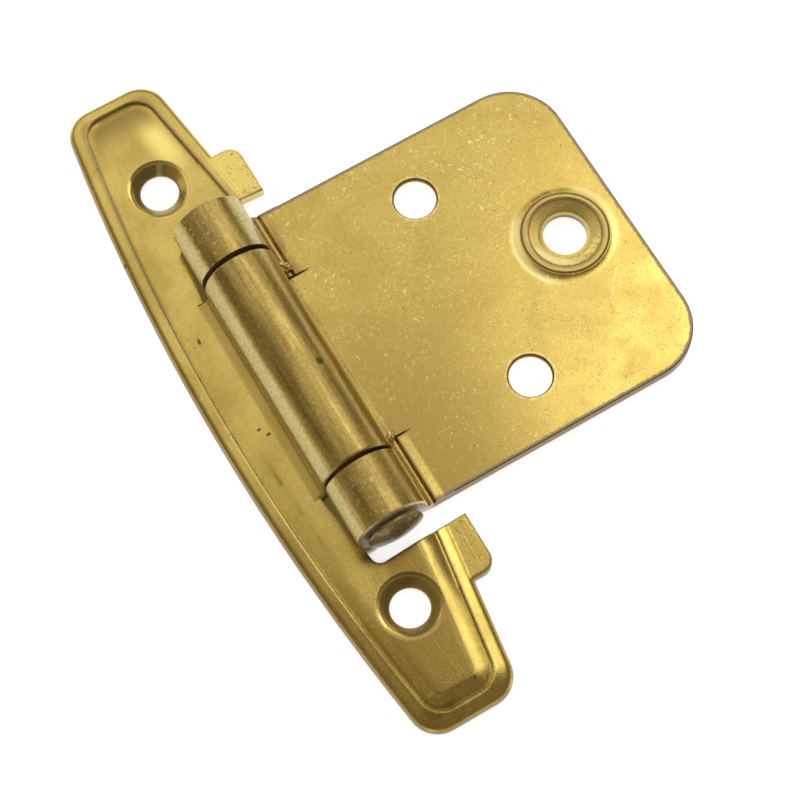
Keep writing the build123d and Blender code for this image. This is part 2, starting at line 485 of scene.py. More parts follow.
@dataclass(frozen=True)
class Stain(Effect):
    """Speckled stain: small dark grains inside slower patches."""

    name: str = "speckled stain"
    results: Tuple[str, ...] = ("Stain",)
    grain_scale: float = 4.6
    patch_scale: float = 0.8

    def draw(self, graph: Graph, place: Socket) -> Tuple[Amount, ...]:
        """Breaks a fine noise into grains and keeps those inside the patches of a slow one.

        Args:
            graph: the group's graph.
            place: position in millimetres.
        Returns:
            The stain's mask.
        """
        grains = graph.noise(place, self.grain_scale, detail=2.5, rough=0.7).rise(0.52, 0.66)
        patches = graph.noise(place, self.patch_scale, rough=0.6).rise(0.42, 0.66)
        return (grains * patches,)


class Surface:
    """A point of a material: where it is and which way it faces, in the part's own frame."""

    def __init__(self, graph: Graph, ease: float) -> None:
        """Reads the point.

        Args:
            graph: the material's graph.
            ease: radius over which the facing is smoothed, in metres, or 0.
        """
        spot = graph.node("ShaderNodeTexCoord")
        self.graph = graph
        self.place = graph.scaled(spot.outputs["Object"], (MM, MM, MM))
        self.facing = spot.outputs["Normal"]
        if ease > 0.0:
            soft = graph.node("ShaderNodeBevel", samples=6)
            soft.inputs["Radius"].default_value = ease
            self.facing = graph.carried(soft.outputs[0], "WORLD", "OBJECT")

    @cached_property
    def at(self) -> Tuple[Amount, ...]:
        """The place's three numbers, in millimetres."""
        return self.graph.parts(self.place)

    @cached_property
    def faces(self) -> Tuple[Amount, ...]:
        """The facing's three numbers."""
        return self.graph.parts(self.facing)

    @cached_property
    def side(self) -> Amount:
        """Distance from mid length, which is the same at both ends of the hinge."""
        return abs(self.at[1])

    @cached_property
    def stain(self) -> Amount:
        """Speckled stain."""
        return self.graph.effect(Stain().tree(), self.place)["Stain"]

    @cached_property
    def grit(self) -> Amount:
        """Fine grit that breaks up the marks."""
        return self.graph.noise(self.place, 2.4, detail=3.0, rough=0.7).rise(0.35, 0.65)

    @cached_property
    def worn(self) -> Amount:
        """Uneven wear, from a quarter to full."""
        return self.graph.noise(self.place, 0.55, rough=0.6).eased(0.36, 0.62, 0.25, 1.0)


@dataclass
class Skin:
    """Colour, roughness, height, facing and metal at a point while marks are laid on."""

    spot: Surface
    colour: Socket
    rough: Amount
    height: Amount
    normal: Socket
    metal: Value

    def level(self, mask: Amount, factors: Triple) -> None:
        """Flattens or steepens the way the surface faces.

        Args:
            mask: where it changes, from 0 to 1.
            factors: what the facing's three numbers are multiplied by there.
        """
        g = self.spot.graph
        made = g.node("ShaderNodeMix", data_type="VECTOR")
        g.put(made.inputs[0], mask)
        g.put(made.inputs[4], self.normal)
        g.put(made.inputs[5], g.scaled(self.normal, factors))
        self.normal = made.outputs[1]

    def dull(self, mask: Amount, share: float) -> None:
        """Takes a share of the metallic look away where the mask is."""
        self.metal = self.spot.graph.math(Op.SUB, self.metal, mask * share, clamp=True)

    def lay(self, mask: Amount, colour: Colour, rough: float, share: float = 1.0) -> None:
        """Lays a mark over the finish.

        Args:
            mask: where the mark is, from 0 to 1.
            colour: the mark's colour.
            rough: the mark's roughness.
            share: how fully the mark covers.
        """
        part = mask * share
        self.colour = self.spot.graph.mix(part, self.colour, colour)
        self.rough = self.rough * (1.0 - part) + part * rough

    def wear(self, shader: bpy.types.Node, depth: float) -> None:
        """Feeds the shader, with the height as a bump.

        Args:
            shader: the material's shader.
            depth: how high one unit of height is, in metres.
        """
        g = self.spot.graph
        unit = g.node("ShaderNodeVectorMath", operation="NORMALIZE")
        g.put(unit.inputs[0], self.normal)
        bump = g.node("ShaderNodeBump")
        g.put(bump.inputs["Normal"], g.carried(unit.outputs[0], "OBJECT", "WORLD"))
        bump.inputs["Strength"].default_value = 1.0
        bump.inputs["Distance"].default_value = depth
        g.put(bump.inputs["Height"], self.height)
        results = {"Normal": bump.outputs[0], "Base Color": self.colour, "Roughness": self.rough,
                   "Metallic": self.metal}
        for name, value in results.items():
            g.put(shader.inputs[name], value)


@dataclass(frozen=True)
class Finish:
    """Worn brass plating; each piece adds the marks of its own places, in millimetres."""

    name: str = "brass"
    brass: Colour = (0.650, 0.470, 0.108)
    deep: Colour = (0.530, 0.368, 0.074)
    pale: Colour = (0.960, 0.790, 0.330)
    brown: Colour = (0.115, 0.062, 0.020)
    rust: Colour = (0.200, 0.088, 0.026)
    rolled: Colour = (0.610, 0.440, 0.108)
    streaked: Colour = (0.400, 0.262, 0.055)
    # Pale cream of the barrel's dusty layer and its painted sheen; the countersinks' scrape uses it too
    film_and_sheen: Colour = (0.780, 0.650, 0.240)
    nick: Colour = (0.340, 0.190, 0.030)
    coat: float = 0.45
    coat_rough: float = 0.22
    rough: float = 0.16
    rolled_rough: float = 0.33
    mottled: float = 0.10
    rolled_mottled: float = 0.30
    scuffed: float = 1.0
    nick_cover: float = 0.75
    ding_cover: float = 0.95
    scratch_cover: float = 0.25
    pit_cover: float = 0.6
    film_and_sheen_cover: float = 0.92
    film_and_sheen_dulls: float = 0.5
    mottle_height: float = 0.16
    streak_height: float = 0.45
    ding_height: float = 0.3
    pit_height: float = 0.3
    wave_height: float = 3.7
    depth: float = 0.0000125
    ease: float = 0.0
    left_flank: Span = (1.6, 2.6)
    sheen_view: Span = (0.29, 0.40)
    flank_facing: Span = (-0.965, -0.88)
    end_facing: Span = (0.6, 0.85)

    def draw(self, spot: Surface) -> Skin:
        """Draws the plating and its marks; each finish has its own."""
        raise NotImplementedError

    def build(self) -> bpy.types.Material:
        """Makes the material.

        Returns:
            The finished material.
        """
        made = bpy.data.materials.new(self.name)
        made.use_nodes = True
        shader = made.node_tree.nodes["Principled BSDF"]
        shader.inputs["Coat Weight"].default_value = self.coat
        shader.inputs["Coat Roughness"].default_value = self.coat_rough
        self.draw(Surface(Graph(made.node_tree), self.ease)).wear(shader, self.depth)
        return made

    def plate(self, spot: Surface, brushed: Value, rolled: Optional[Amount] = None,
              film_and_sheen: Optional[Amount] = None) -> Skin:
        """Draws the plating that all pieces share, before the marks of their own places.

        Args:
            spot: the point of the surface.
            brushed: how strongly the streaks show, from 0 to 1.
            rolled: mask of the rolled sheet, where the plating is duller and streaked.
            film_and_sheen: mask of the barrel's pale dusty layer and its painted sheen.
        Returns:
            The finish so far.
        """
        g = spot.graph
        clouding, scuffs, brushing = (
            g.effect(shared.tree(), spot.place) for shared in (Clouding(), Scuffs(), Brushing()))
        cloud, mottle = clouding["Cloud"], clouding["Mottle"]
        colour = g.mix(cloud.rise(0.34, 0.68), self.brass, self.deep)
        mottled, rough, metal = self.mottled, self.rough, 1.0
        if rolled is not None:
            barrel = g.mix(brushing["Broad"].rise(0.36, 0.66), self.rolled, self.streaked)
            barrel = g.mix(brushing["Fine"].eased(0.50, 0.74, 0.0, 0.7), barrel, self.streaked)
            colour = g.mix(rolled, colour, barrel)
            mottled = rolled.eased(0.0, 1.0, self.mottled, self.rolled_mottled)
            rough = rolled.eased(0.0, 1.0, self.rough, self.rolled_rough)
        # Pale dusty layer, partly real and partly painted sheen, which also takes some metal away
        if film_and_sheen is not None:
            speckled = film_and_sheen * mottle.eased(0.28, 0.42, 0.5, 1.0)
            colour = g.mix(speckled * self.film_and_sheen_cover, colour, self.film_and_sheen)
            metal = 1.0 - film_and_sheen * self.film_and_sheen_dulls
        fleck = mottle.eased(0.36, 0.66, -0.6, 0.4) * mottled + 1.0
        colour = g.mix(1.0, colour, g.grey(fleck), "MULTIPLY")
        colour = g.mix(scuffs["Nicks"] * (self.nick_cover * self.scuffed), colour, self.nick)
        colour = g.mix(scuffs["Dings"] * (self.ding_cover * self.scuffed), colour, self.pale)
        colour = g.mix(scuffs["Scratches"] * self.scratch_cover, colour, self.pale)
        colour = g.mix(scuffs["Pits"] * self.pit_cover, colour, self.brown)
        rough = cloud.eased(0.35, 0.7, -0.02, 0.05) + rough + scuffs["Dings"] * 0.2
        height = mottle * self.mottle_height + brushing["Fine"] * brushed * self.streak_height
        height = height + scuffs["Dings"] * (self.ding_height * self.scuffed)
        height = height - scuffs["Pits"] * self.pit_height + clouding["Wave"] * self.wave_height
        return Skin(spot, colour, rough, height, spot.facing, metal)

    def leaf(self, spot: Surface, brushed: Value, rolled: Amount, both: Value) -> Skin:
        """Draws a leaf's plating, with a pale dusty layer and a painted sheen on the barrel's sides,
        which are levelled.

        Args:
            spot: the point of the surface.
            brushed: how strongly the streaks show, from 0 to 1.
            rolled: mask of the barrel.
            both: where the right flank has the pale layer and sheen as well as the left.
        Returns:
            The finish so far.
        """
        # Painted sheen: the pale colour goes where the barrel's side is seen at a grazing angle
        weight = spot.graph.node("ShaderNodeLayerWeight")
        weight.inputs["Blend"].default_value = 0.5
        flat = Amount(spot.graph, weight.outputs["Facing"]).rise(*self.sheen_view)
        flanks = flat * spot.at[0].fall(*self.left_flank).most(both)
        skin = self.plate(spot, brushed, rolled, flanks * rolled)
        skin.level(spot.faces[0].fall(*self.flank_facing) * rolled, (0.4, 1.0, 1.0))
        return skin


@dataclass(frozen=True)
class DoorFinish(Finish):
    """Finish of the door leaf: smooth sheet, raw cut edges, a stained crease and a ring, with painted
    highlights and painted shade.
    """

    name: str = "worn brass sheet"
    brass: Colour = (0.612, 0.440, 0.099)
    deep: Colour = (0.520, 0.364, 0.074)
    steel: Colour = (0.250, 0.190, 0.120)
    ring: Colour = (0.400, 0.285, 0.085)
    cup: Colour = (0.520, 0.410, 0.110)
    raw: Colour = (0.560, 0.520, 0.430)
    # Colour of painted highlights and glints
    shine: Colour = (0.980, 0.760, 0.200)
    wall: Colour = (0.240, 0.165, 0.080)
    # Colour of painted shade
    shade_tone: Colour = (0.440, 0.300, 0.066)

    # Barrel and crease: the sheet rises at the bend, and the strips lie outside the slits
    bend: Span = (6.45, 6.75)
    upper_strip: Span = (8.0, 9.0)
    low_to_high: Span = (-9.0, 9.0)
    shaded_corner_reach: Span = (9.0, 21.0)
    strips: Span = (9.15, 9.40)
    crease: Band = (7.10, 0.18, 0.65)
    crease_line: Band = (6.93, 0.05, 0.12)
    foot: Band = (7.52, 0.20, 0.34)
    foot_start: Span = (-9.8, -9.4)
    foot_fade: Span = (-15.5, -9.5)
    slit: Band = (9.35, 0.05, 0.18)
    slit_reach: Span = (7.6, 8.6)
    left_half: Span = (1.5, 4.5)
    inner_ends: Span = (12.0, 14.0)

    # Ring round the dimpled hole, by distance from its centre
    ring_x: float = 30.72
    slope_start: Span = (3.95, 4.10)
    slope_end: Span = (4.9, 5.2)
    ring_top: Band = (3.80, 0.34, 0.12)
    ring_foot: Band = (4.12, 0.05, 0.12)
    foot_glare: Band = (4.75, 0.15, 0.55)
    glare_beside: Span = (0.45, 0.85)
    glare_fade: Span = (0.0, 3.0)
    foot_shade: Band = (4.62, 0.10, 0.32)
    shade_way: Pair = (0.02, 0.2)
    shade_reach: Span = (0.72, 0.92)
    cup_edge: Span = (3.35, 3.50)
    cup_line: Band = (3.44, 0.03, 0.10)
    cup_shade: Span = (-1.5, 2.5)
    cup_floor: Band = (2.42, 0.06, 0.14)
    floor_shade: Span = (-0.6, 1.2)
    cup_glare: Band = (2.85, 0.25, 0.3)
    glare_way: Pair = (-0.75, -0.66)
    glare_reach: Span = (1.9, 2.8)
    cup_glint: Band = (2.95, 0.22, 0.35)
    glint_reach: Span = (-2.6, -0.9)

    # Plain holes, and the outline with its two rounded corners
    holes: Tuple[Pair, ...] = ((20.52, 10.5), (20.52, -10.5))
    hole_rim: Band = (2.06, 0.07, 0.10)
    hole_lip: Band = (2.30, 0.05, 0.12)
    corner_at: Pair = (31.26, 11.0)
    corner_radius: float = 5.6
    bare_edge: Span = (0.28, 0.46)
    edge_ragged: float = 0.10
    steep: Span = (0.35, 0.65)
    wall_line: Band = (0.62, 0.10, 0.22)

    def draw(self, spot: Surface) -> Skin:
        """Draws the leaf's plating and then its marks, group by group.

        Args:
            spot: the point of the surface.
        Returns:
            The whole finish.
        """
        x, y, _ = spot.at
        rolled, flat = x.fall(*self.bend), x.rise(*self.bend)
        skin = self.leaf(spot, rolled * 0.8, rolled, y.rise(*self.upper_strip))
        skin.lay(spot.stain * flat, self.nick, rough=0.4, share=0.30)
        # Painted shade: the lower left of the flat sheet is darker
        shaded_corner = x.fall(*self.shaded_corner_reach) * y.fall(*self.low_to_high)
        skin.lay(shaded_corner * flat, self.shade_tone, rough=0.18, share=0.8)
        self.mark_crease(skin)
        self.mark_ring(skin)
        self.mark_holes(skin)
        self.mark_edges(skin, flat)
        self.mark_ends(skin, rolled)
        return skin

    def mark_crease(self, skin: Skin) -> None:
        """Marks the crease at the foot of the strips, the slits beside them, and a painted highlight,
        partly burnished, along the lower strip's foot.

        Args:
            skin: the finish so far.
        """
        spot = skin.spot
        x, y, _ = spot.at
        strips = spot.side.rise(*self.strips)
        crease = x.near(*self.crease) * strips * y.eased(*self.low_to_high, 0.35, 1.0)
        skin.lay(crease * spot.worn, self.rust, rough=0.42, share=0.55)
        skin.lay(x.near(*self.crease_line) * strips, self.rust, rough=0.5, share=0.6)
        # Painted highlight along the foot of the lower strip, partly burnished
        shine = x.near(*self.foot) * y.fall(*self.foot_start) * y.eased(*self.foot_fade, 1.0, 0.55)
        skin.lay(shine * spot.grit.eased(0.0, 0.8, 0.72, 1.0), self.shine, rough=0.2, share=0.9)
        slits = spot.side.near(*self.slit) * x.fall(*self.slit_reach)
        skin.lay(slits, self.rust, rough=0.55, share=0.8)

    def mark_ring(self, skin: Skin) -> None:
        """Marks the raised ring: a levelled slope, a brown top, a cup with painted shade and painted
        glints, and painted glare and shade round its foot.

        Args:
            skin: the finish so far.
        """
        spot = skin.spot
        x, y, _ = spot.at
        across = x - self.ring_x
        out = across.hypot(y)
        skin.level(out.rise(*self.slope_start) * out.fall(*self.slope_end), (0.17, 0.17, 1.0))
        skin.lay(out.near(*self.ring_top), self.ring, rough=0.24, share=0.75)
        cup = out.fall(*self.cup_edge)
        skin.lay(cup, self.cup, rough=0.30, share=0.6)
        skin.level(cup, (0.42, 0.42, 1.0))
        skin.dull(cup, 0.12)
        # Painted shade round the upper part of the hole's rim
        skin.lay(out.near(*self.cup_floor) * y.rise(*self.floor_shade), self.brown, rough=0.5, share=0.6)
        # Painted highlights: glare low in the cup and beside the ring's foot
        glare = across.towards(y, self.glare_way).rise(*self.glare_reach)
        skin.lay(out.near(*self.cup_glare) * glare, self.pale, rough=0.2, share=0.8)
        beside = (abs(across) / out.most(0.1)).rise(*self.glare_beside)
        beside = beside * across.eased(*self.glare_fade, 1.0, 0.5)
        skin.lay(out.near(*self.foot_glare) * beside, self.pale, rough=0.16, share=0.65)
        skin.lay(out.near(*self.ring_foot), self.brown, rough=0.5, share=0.75)
        skin.lay(out.near(*self.cup_line), self.brown, rough=0.5, share=0.6)
        # Painted shade on the cup's upper half, and painted glints on its lower side
        skin.lay(cup * y.rise(*self.cup_shade), self.shade_tone, rough=0.3, share=0.5)
        glint = out.near(*self.cup_glint) * spot.grit.rise(0.25, 0.75)
        skin.lay(glint * y.fall(*self.glint_reach), self.shine, rough=0.2, share=0.85)
        # Painted shade round the ring's far foot, broken up by the wear noise
        above = across.towards(y, self.shade_way).rise(*self.shade_reach)
        skin.lay(out.near(*self.foot_shade) * above * spot.worn, self.brown, rough=0.5, share=0.75)

    def mark_holes(self, skin: Skin) -> None:
        """Marks the plain holes: a brown rim and a pale gritty lip.

        Args:
            skin: the finish so far.
        """
        spot = skin.spot
        x, y, _ = spot.at
        for hole_x, hole_y in self.holes:
            out = (x - hole_x).hypot(y - hole_y)
            skin.lay(out.near(*self.hole_rim), self.brown, rough=0.45, share=0.45)
            skin.lay(out.near(*self.hole_lip) * spot.grit, self.pale, rough=0.3, share=0.5)

    def mark_edges(self, skin: Skin, flat: Amount) -> None:
        """Bares the steel along the cut outline, and darkens its wall.

        The distance to the outline is that of a rectangle with rounded corners.

        Args:
            skin: the finish so far.
            flat: mask of the flat sheet.
        """
        spot = skin.spot
        x, _, z = spot.at
        past_x, past_y = x - self.corner_at[0], spot.side - self.corner_at[1]
        past = past_x.most(0.0).hypot(past_y.most(0.0)) + past_x.most(past_y).least(0.0)
        edge = self.corner_radius - past + (spot.grit - 0.5) * self.edge_ragged
        skin.lay(edge.fall(*self.bare_edge) * flat, self.steel, rough=0.42, share=0.8)
        wall = abs(spot.faces[2]).fall(*self.steep) * flat
        skin.lay(wall, self.wall, rough=0.4)
        skin.lay(wall * z.near(*self.wall_line), self.brown, rough=0.5, share=0.65)

    def mark_ends(self, skin: Skin, rolled: Amount) -> None:
        """Marks the cut ends of the knuckles: raw and stained, with rust towards mid length, and darker
        and duller on their left half.

        Args:
            skin: the finish so far.
            rolled: mask of the barrel.
        """
        spot = skin.spot
        ends = abs(spot.faces[1]).rise(*self.end_facing) * rolled
        skin.lay(ends, self.raw, rough=0.42, share=0.85)
        skin.lay(ends * spot.stain, self.brown, rough=0.6, share=0.8)
        skin.lay(ends * spot.side.fall(*self.inner_ends), self.rust, rough=0.5, share=0.9)
        left_ends = ends * spot.at[0].fall(*self.left_half)
        skin.lay(left_ends, self.wall, rough=0.5, share=0.8)
        skin.dull(left_ends, 0.55)


@dataclass(frozen=True)
class FrameFinish(Finish):
    """Finish of the frame leaf: brushed panel, dark groove, countersinks, stained tabs, and painted
    highlights and painted shade.
    """

    name: str = "brushed brass panel"
    scuffed: float = 0.22
    rough: float = 0.17
    ease: float = 0.0004
    # Colour of painted highlights on the panel and the upper of the tabs
    highlight_gold: Colour = (0.900, 0.680, 0.180)
    gleam: Colour = (1.000, 0.800, 0.220)
    # Colour of painted shade
    shade_tone: Colour = (0.300, 0.190, 0.034)
    grey: Colour = (0.170, 0.135, 0.090)

    # Barrel, and the root of the tongue that rolls into it
    axis_x: float = 2.1
    axis_z: float = 4.0
    barrel_reach: Span = (3.75, 4.1)
    barrel_foot: Span = (1.6, 2.2)
    brushed_along: Span = (-24.0, 6.0)
    tongue_side: Span = (11.1, 11.2)
    root: Band = (-1.9, 0.6, 0.25)
    root_line: Band = (-2.10, 0.25, 0.4)
    root_top: Span = (2.3, 3.0)

    # Outline: a bowed left side, and a right side that tapers to the two tips
    half_length: float = 35.0
    tip_y: float = 34.95
    left_x: float = 7.3
    left_bow: float = 2.7
    right_x: float = 7.0
    right_taper: float = 2.28
    tab_y: float = 18.72
    tip_round: float = 1.6

    # Lines round the panel, by distance from the outline, and heights of the sheet
    border: Span = (0.30, 0.55)
    lip_highlight: Band = (1.33, 0.03, 0.07)
    groove: Band = (1.46, 0.07, 0.08)
    panel_edge: Span = (1.44, 1.54)
    verge: Band = (1.50, 0.22, 0.10)
    low_verge: Band = (1.62, 0.32, 0.30)
    grime: Band = (1.55, 0.10, 0.30)
    groove_wall: Band = (1.45, 0.35, 0.10)
    border_facing: Span = (0.55, 0.85)
    lip_start: Span = (-27.0, -18.0)
    lip_fade: Span = (4.0, 18.0)
    verge_dulls: Span = (2.0, 16.0)
    groove_top: Span = (1.16, 1.22)
    panel_foot: Span = (1.0, 1.1)
    panel_rise: Span = (1.50, 1.54)
    panel_top: Span = (1.57, 1.62)
    above_panel: Span = (1.6, 1.9)

    # Panel: its bent right side, and painted highlights and painted shade at its two ends
    panel_side: Span = (-2.3, -1.4)
    panel_flat: Span = (1.8, 2.0)
    bent_side: Span = (1.2, 2.2)
    bent_edge: Span = (1.6, 1.8)
    lower_bend: Span = (-20.0, -19.0)
    lower_curl: Span = (-27.0, -20.0)
    lower_curl_end: Span = (-19.0, -18.0)
    upper_bend: Span = (17.0, 19.0)
    gleam_line: Band = (3.25, 0.15, 1.75)
    gleam_start: Span = (23.0, 27.5)
    gleam_end: Span = (29.0, 32.4)
    gleam_edge: Span = (1.7, 2.2)
    upper_tip: Span = (28.8, 32.6)
    upper_tip_edge: Span = (1.7, 2.6)
    lower_end: Span = (-27.0, -21.0)
    lower_end_edge: Span = (2.6, 3.2)
    low_verge_end: Span = (-25.0, -21.0)
    low_verge_side: Span = (-1.5, 0.0)
    hollow_across: Band = (1.6, 1.2, 0.9)
    hollow_along: Band = (-20.4, 1.2, 1.2)
    glare_across: Band = (-2.6, 0.3, 1.3)
    glare_along: Band = (-21.0, 1.5, 3.5)

    # Countersinks, tabs and specks; a speck is a place and two half widths
    screw_y: float = 23.75
    screw_reach: float = 10.0
    bowl: Span = (2.66, 2.76)
    # Where each bowl's far wall carries painted shade
    bowl_shade_way: Pair = (-0.35, 0.55)
    bowl_shade_reach: Span = (-0.2, 1.0)
    scrape_way: Pair = (0.51, 0.86)
    scrape_start: Span = (1.5, 1.8)
    scrape_line: Band = (-0.1, 0.16, 0.25)
    upper_half: Span = (0.0, 1.0)
    bowl_lips: Tuple[Tuple[Band, float], ...] = (((2.76, 0.03, 0.08), 0.35), ((3.16, 0.03, 0.08), 0.12))
    cut_facing: Span = (0.2, 0.4)
    cut_top: Span = (1.5, 1.7)
    tab_side: Span = (18.5, 18.7)
    tab_bright: Span = (5.0, 6.0)
    tab_edge: Span = (0.6, 0.8)
    tab_stained: Span = (5.6, 7.2)
    speck_ragged: float = 0.8
    speck_edge: Span = (0.5, 1.1)
    specks: Tuple[Tuple[float, float, float, float], ...] = (
        (-4.13, 7.89, 0.16, 0.34), (-3.53, -2.57, 0.30, 0.14), (-2.94, -3.37, 0.28, 0.14),
        (1.60, -32.20, 0.18, 0.20), (-6.43, 18.45, 0.14, 0.24), (3.75, -1.65, 0.30, 0.42),
    )

    def draw(self, spot: Surface) -> Skin:
        """Draws the leaf's plating and then its marks, group by group.

        Args:
            spot: the point of the surface.
        Returns:
            The whole finish.
        """
        x, y, z = spot.at
        barrel = (x - self.axis_x).hypot(z - self.axis_z).fall(*self.barrel_reach)
        rolled = barrel * z.rise(*self.barrel_foot)
        skin = self.leaf(spot, y.eased(*self.brushed_along, 1.0, 0.35), rolled, 0.0)
        self.mark_tongue(skin, rolled)
        right = self.right_x - self.taper(spot) - x
        inset = self.inset(spot, right)
        self.shape_panel(skin, inset)
        self.shade_panel(skin, inset, right)
        self.mark_verge(skin, inset)
        self.mark_screws(skin)
        self.mark_specks(skin)
        self.mark_edges(skin, inset)
        return skin

    def taper(self, spot: Surface) -> Amount:
        """How far the right side has come in, which grows evenly from the tabs to the tips."""
        slope = self.right_taper / (self.half_length - self.tab_y)
        return (spot.side - self.tab_y).most(0.0) * slope

    def inset(self, spot: Surface, right: Amount) -> Amount:
        """Distance in from the outline, with rounded tips.

        Args:
            spot: the point of the surface.
            right: distance from the right side.
        Returns:
            The distance.
        """
        x, y, _ = spot.at
        left = x + self.left_x - y * y * (self.left_bow / self.half_length ** 2)
        return left.least(right).merged(self.tip_y - spot.side, self.tip_round)

    def mark_tongue(self, skin: Skin, rolled: Amount) -> None:
        """Levels and shades the tongue's root, and rusts the ends of the middle knuckle.

        Args:
            skin: the finish so far.
            rolled: mask of the barrel.
        """
        spot = skin.spot
        x, _, z = spot.at
        root = x.near(*self.root) * spot.side.fall(*self.tongue_side) * z.fall(*self.root_top)
        skin.level(root, (0.36, 1.0, 1.0))
        skin.lay(root * x.near(*self.root_line), self.shade_tone, rough=0.2, share=0.55)
        ends = rolled * abs(spot.faces[1]).rise(*self.end_facing)
        skin.lay(ends, self.rust, rough=0.5, share=0.9)

    def shape_panel(self, skin: Skin, inset: Amount) -> None:
        """Darkens the groove and eases the panel's facing, more at its bent ends.

        Args:
            skin: the finish so far.
            inset: distance in from the outline.
        """
        x, y, z = skin.spot.at
        skin.lay(inset.near(*self.groove) * z.fall(*self.groove_top), self.brown, rough=0.5, share=0.25)
        panel = inset.rise(*self.panel_edge) * x.fall(*self.panel_side)
        skin.level(panel * z.rise(*self.panel_foot), (0.28, 0.5, 1.0))
        top = z.rise(*self.panel_rise) * z.fall(*self.panel_top)
        skin.level(top * inset.rise(*self.panel_flat), (0.15, 0.15, 1.0))
        skin.dull(inset.near(*self.verge) * y.rise(*self.verge_dulls), 0.55)
        bent = x.rise(*self.bent_side) * inset.rise(*self.bent_edge) * z.fall(*self.panel_top)
        skin.level(bent * y.fall(*self.lower_bend), (0.78, 0.40, 1.0))
        curl = y.rise(*self.lower_curl) * y.fall(*self.lower_curl_end)
        skin.level(bent * curl, (1.9, 1.0, 1.0))
        skin.level(bent * y.rise(*self.upper_bend), (0.25, 0.8, 1.0))

    def shade_panel(self, skin: Skin, inset: Amount, right: Amount) -> None:
        """Paints highlights and shade over the plating of the panel's two ends.

        Args:
            skin: the finish so far.
            inset: distance in from the outline.
            right: distance from the right side.
        """
        x, y, _ = skin.spot.at
        # Painted highlight along the right side near the upper end
        gleam = right.near(*self.gleam_line) * y.rise(*self.gleam_start) * y.fall(*self.gleam_end)
        skin.lay(gleam * inset.rise(*self.gleam_edge), self.gleam, rough=0.2, share=0.85)
        # Painted shade: darker near the upper end, along the lower end, at the lower left of the rim and
        # by the lower slot
        tip_shade = y.rise(*self.upper_tip) * inset.rise(*self.upper_tip_edge)
        skin.lay(tip_shade, self.shade_tone, rough=0.2, share=0.97)
        low = y.fall(*self.lower_end) * inset.rise(*self.lower_end_edge)
        skin.lay(low, self.shade_tone, rough=0.2, share=0.55)
        shaded_corner = y.fall(*self.low_verge_end) * x.fall(*self.low_verge_side)
        skin.lay(inset.near(*self.low_verge) * shaded_corner, self.shade_tone, rough=0.25, share=0.65)
        hollow_shade = x.near(*self.hollow_across) * y.near(*self.hollow_along)
        skin.lay(hollow_shade, self.shade_tone, rough=0.2, share=0.7)
        # Painted highlight: a soft glare left of the lower countersink
        glare = x.near(*self.glare_across) * y.near(*self.glare_along)
        skin.lay(glare, self.highlight_gold, rough=0.2, share=0.35)

    def mark_verge(self, skin: Skin, inset: Amount) -> None:
        """Marks the rim: a brown border, grime in the groove, and a painted highlight on the crest
        beside the groove that fades lengthwise.

        Args:
            skin: the finish so far.
            inset: distance in from the outline.
        """
        spot = skin.spot
        _, y, z = spot.at
        border = inset.fall(*self.border) * spot.faces[2].fall(*self.border_facing)
        skin.lay(border, self.brown, rough=0.45, share=0.55)
        sheet = z.fall(*self.above_panel)
        skin.lay(inset.near(*self.grime) * sheet * spot.stain, self.brown, rough=0.5, share=0.45)
        # Painted highlight on the rim's crest, fading lengthwise
        along = y.eased(*self.lip_start, 0.3, 1.0) * y.eased(*self.lip_fade, 1.0, 0.35)
        lip_highlight = inset.near(*self.lip_highlight) * sheet * along
        skin.lay(lip_highlight * spot.grit.eased(0.0, 1.0, 0.55, 0.95), self.pale, rough=0.22, share=0.5)

    def mark_screws(self, skin: Skin) -> None:
        """Marks the countersinks: dull bowls, painted shade on the far side, a scrape, and pale lips,
        partly burnished and partly painted highlight.

        Args:
            skin: the finish so far.
        """
        spot = skin.spot
        x, y, _ = spot.at
        out = x.hypot(spot.side - self.screw_y)
        upper = y.within(self.screw_y, self.screw_reach)
        far = y - upper * (2.0 * self.screw_y) + self.screw_y
        bowl = out.fall(*self.bowl)
        skin.lay(bowl, self.deep, rough=0.34, share=0.6)
        skin.dull(bowl, 0.30)
        # Painted shade on each bowl's far wall
        far_shade = x.towards(far, self.bowl_shade_way)
        skin.lay(bowl * far_shade.rise(*self.bowl_shade_reach), self.brown, rough=0.5, share=0.5)
        way_x, way_y = self.scrape_way
        along, off = x.towards(far, (way_x, way_y)), x.towards(far, (way_y, -way_x))
        scrape = off.near(*self.scrape_line) * along.rise(*self.scrape_start)
        skin.lay(bowl * scrape * y.rise(*self.upper_half), self.film_and_sheen, rough=0.3, share=0.8)
        # Pale lips, partly burnished and partly painted highlight
        for band, share in self.bowl_lips:
            skin.lay(out.near(*band), self.pale, rough=0.2, share=share)

    def mark_specks(self, skin: Skin) -> None:
        """Lays the small dark specks, each an ellipse with a gritty edge.

        Args:
            skin: the finish so far.
        """
        spot = skin.spot
        x, y, _ = spot.at
        for speck_x, speck_y, wide, tall in self.specks:
            across, along = (x - speck_x) / wide, (y - speck_y) / tall
            ragged = across * across + along * along + (spot.grit - 0.5) * self.speck_ragged
            skin.lay(ragged.fall(*self.speck_edge), self.brown, rough=0.55, share=0.85)

    def mark_edges(self, skin: Skin, inset: Amount) -> None:
        """Greys the cut walls, paints a highlight on the upper of the two tabs, and stains both tabs.

        Args:
            skin: the finish so far.
            inset: distance in from the outline.
        """
        spot = skin.spot
        x, y, z = spot.at
        cut = abs(spot.faces[2]).fall(*self.cut_facing) * z.fall(*self.cut_top)
        skin.lay(cut.without(inset.near(*self.groove_wall)), self.grey, rough=0.5, share=0.8)
